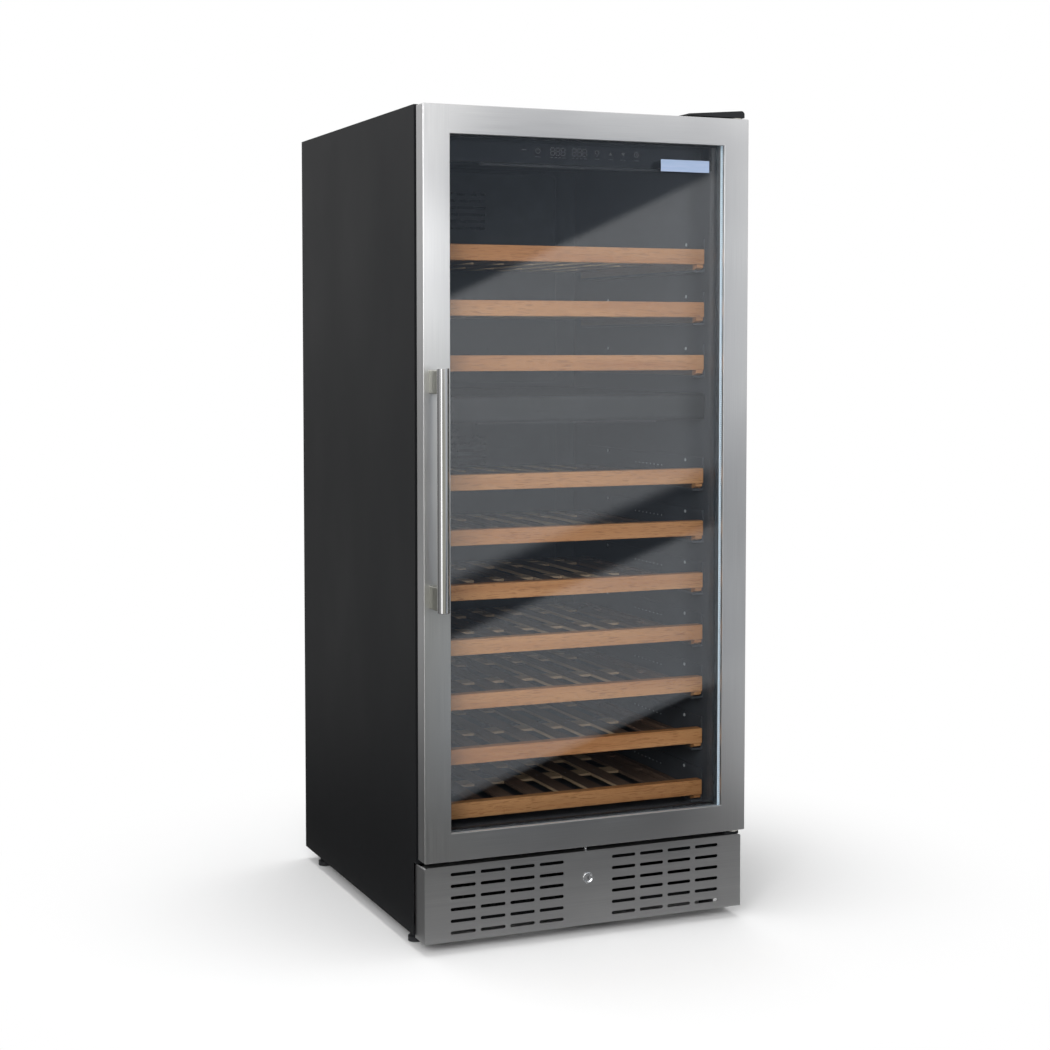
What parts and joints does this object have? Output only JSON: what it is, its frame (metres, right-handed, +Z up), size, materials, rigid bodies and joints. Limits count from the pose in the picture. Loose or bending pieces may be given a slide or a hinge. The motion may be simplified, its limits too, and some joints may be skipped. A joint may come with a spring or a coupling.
{
  "type": "wine cooler",
  "caption": "Tall free-standing wine cooler with a framed glass door, bar handle, sliding wooden shelves in two zones and a slotted kick grille with a key lock.",
  "frame": {"origin": "centre of the footprint on the floor under the levelling feet", "axes": "+Z up, -Y towards the door and handle, +X to the right seen from the front, the hinge side"},
  "size_m": [0.595, 0.73, 1.4045],
  "materials": {
    "black_enamel": "satin black stoved enamel on sheet steel",
    "zinc_steel": "dull zinc coated sheet steel",
    "brushed_stainless": "brushed stainless steel",
    "polished_chrome": "polished plated metal",
    "foam": "rigid foamed insulation",
    "black_moulding": "fine textured black moulding",
    "gloss_panel": "gloss black touch panel",
    "light_lens": "smoked light cover",
    "fin_aluminium": "mill aluminium",
    "copper": "drawn copper tube",
    "rubber": "soft black rubber",
    "bush_nylon": "natural nylon",
    "float_glass": "clear float glass",
    "beech": "oiled beech"
  },
  "bodies": {
    "cabinet": {"left_side_panel": "black_enamel", "right_side_panel": "black_enamel", "top_panel": "black_enamel", "back_panel": "zinc_steel", "base_pan": "black_enamel", "front_rail": "black_enamel", "insulation_foam": "foam", "inner_liner": "black_moulding", "zone_divider": "black_moulding", "upper_duct_cover": "black_moulding", "lower_duct_cover": "black_moulding", "evaporators": "fin_aluminium", "evaporator_fan_frames": "black_moulding", "compressor": "black_enamel", "compressor_grommets": "rubber", "condenser": "black_enamel", "condenser_fan_frame": "black_moulding", "drip_tray": "black_moulding", "refrigerant_pipes": "copper", "control_box": "black_moulding", "control_panel": "gloss_panel", "light_strips": "light_lens", "shelf_runners": "black_moulding", "kick_grille": "brushed_stainless", "lock_housing": "polished_chrome", "top_hinge_bracket": "black_enamel", "top_hinge_cover": "black_moulding", "bottom_hinge_bracket": "black_enamel", "hinge_pins": "zinc_steel", "cord_gland": "rubber", "compressor_cover": "zinc_steel"},
    "door": {"door_frame": "brushed_stainless", "outer_glass": "float_glass", "inner_glass": "float_glass", "glass_spacer": "fin_aluminium", "door_inner_frame": "black_moulding", "door_gasket": "rubber", "handle_tube": "brushed_stainless", "handle_posts": "brushed_stainless", "hinge_bushes": "bush_nylon"},
    "lock_plug": {"lock_plug": "polished_chrome", "lock_cam": "polished_chrome"},
    "lock_bolt": {"lock_bolt": "polished_chrome"},
    "upper_fan": {"upper_fan_rotor": "black_moulding"},
    "lower_fan": {"lower_fan_rotor": "black_moulding"},
    "condenser_fan": {"condenser_fan_rotor": "black_moulding"},
    "shelf_01": {"shelf_01": "beech"},
    "shelf_02": {"shelf_02": "beech"},
    "shelf_03": {"shelf_03": "beech"},
    "shelf_04": {"shelf_04": "beech"},
    "shelf_05": {"shelf_05": "beech"},
    "shelf_06": {"shelf_06": "beech"},
    "shelf_07": {"shelf_07": "beech"},
    "shelf_08": {"shelf_08": "beech"},
    "shelf_09": {"shelf_09": "beech"},
    "shelf_10": {"shelf_10": "beech"},
    "front_left_foot": {"front_left_foot": "black_moulding"},
    "front_right_foot": {"front_right_foot": "black_moulding"},
    "rear_left_foot": {"rear_left_foot": "black_moulding"},
    "rear_right_foot": {"rear_right_foot": "black_moulding"}
  },
  "joints": [
    {"name": "door_swing", "type": "hinge", "parent": "cabinet", "child": "door", "pos_m": [0.2815, -0.3, 0], "axis": [0, 0, 1], "range_deg": [0, 110]},
    {"name": "shelf_01_slide", "type": "slide", "parent": "cabinet", "child": "shelf_01", "axis": [0, -1, 0], "range_m": [0, 0.03]},
    {"name": "shelf_02_slide", "type": "slide", "parent": "cabinet", "child": "shelf_02", "axis": [0, -1, 0], "range_m": [0, 0.03]},
    {"name": "shelf_03_slide", "type": "slide", "parent": "cabinet", "child": "shelf_03", "axis": [0, -1, 0], "range_m": [0, 0.03]},
    {"name": "shelf_04_slide", "type": "slide", "parent": "cabinet", "child": "shelf_04", "axis": [0, -1, 0], "range_m": [0, 0.03]},
    {"name": "shelf_05_slide", "type": "slide", "parent": "cabinet", "child": "shelf_05", "axis": [0, -1, 0], "range_m": [0, 0.03]},
    {"name": "shelf_06_slide", "type": "slide", "parent": "cabinet", "child": "shelf_06", "axis": [0, -1, 0], "range_m": [0, 0.03]},
    {"name": "shelf_07_slide", "type": "slide", "parent": "cabinet", "child": "shelf_07", "axis": [0, -1, 0], "range_m": [0, 0.03]},
    {"name": "shelf_08_slide", "type": "slide", "parent": "cabinet", "child": "shelf_08", "axis": [0, -1, 0], "range_m": [0, 0.03]},
    {"name": "shelf_09_slide", "type": "slide", "parent": "cabinet", "child": "shelf_09", "axis": [0, -1, 0], "range_m": [0, 0.03]},
    {"name": "shelf_10_slide", "type": "slide", "parent": "cabinet", "child": "shelf_10", "axis": [0, -1, 0], "range_m": [0, 0.03]},
    {"name": "lock_turn", "type": "hinge", "parent": "cabinet", "child": "lock_plug", "pos_m": [0, -0.3, 0.1005], "axis": [0, -1, 0], "range_deg": [0, 90]},
    {"name": "lock_bolt_slide", "type": "slide", "parent": "cabinet", "child": "lock_bolt", "axis": [0, 0, 1], "range_m": [0, 0.01]},
    {"name": "upper_fan_spin", "type": "hinge", "parent": "cabinet", "child": "upper_fan", "pos_m": [0, 0.27, 1.262], "axis": [0, -1, 0], "continuous": true},
    {"name": "lower_fan_spin", "type": "hinge", "parent": "cabinet", "child": "lower_fan", "pos_m": [0, 0.27, 0.792], "axis": [0, -1, 0], "continuous": true},
    {"name": "condenser_fan_spin", "type": "hinge", "parent": "cabinet", "child": "condenser_fan", "pos_m": [-0.141, -0.16, 0.0805], "axis": [0, -1, 0], "continuous": true},
    {"name": "front_left_foot_turn", "type": "hinge", "parent": "cabinet", "child": "front_left_foot", "pos_m": [-0.277, -0.213, 0.01], "axis": [0, 0, 1], "continuous": true},
    {"name": "front_right_foot_turn", "type": "hinge", "parent": "cabinet", "child": "front_right_foot", "pos_m": [0.277, -0.213, 0.01], "axis": [0, 0, 1], "continuous": true},
    {"name": "rear_left_foot_turn", "type": "hinge", "parent": "cabinet", "child": "rear_left_foot", "pos_m": [-0.277, 0.303, 0.01], "axis": [0, 0, 1], "continuous": true},
    {"name": "rear_right_foot_turn", "type": "hinge", "parent": "cabinet", "child": "rear_right_foot", "pos_m": [0.277, 0.303, 0.01], "axis": [0, 0, 1], "continuous": true}
  ],
  "couplings": [
    {"joint": "lock_bolt_slide", "follows": "lock_turn", "m_per_rad": 0.006366}
  ]
}
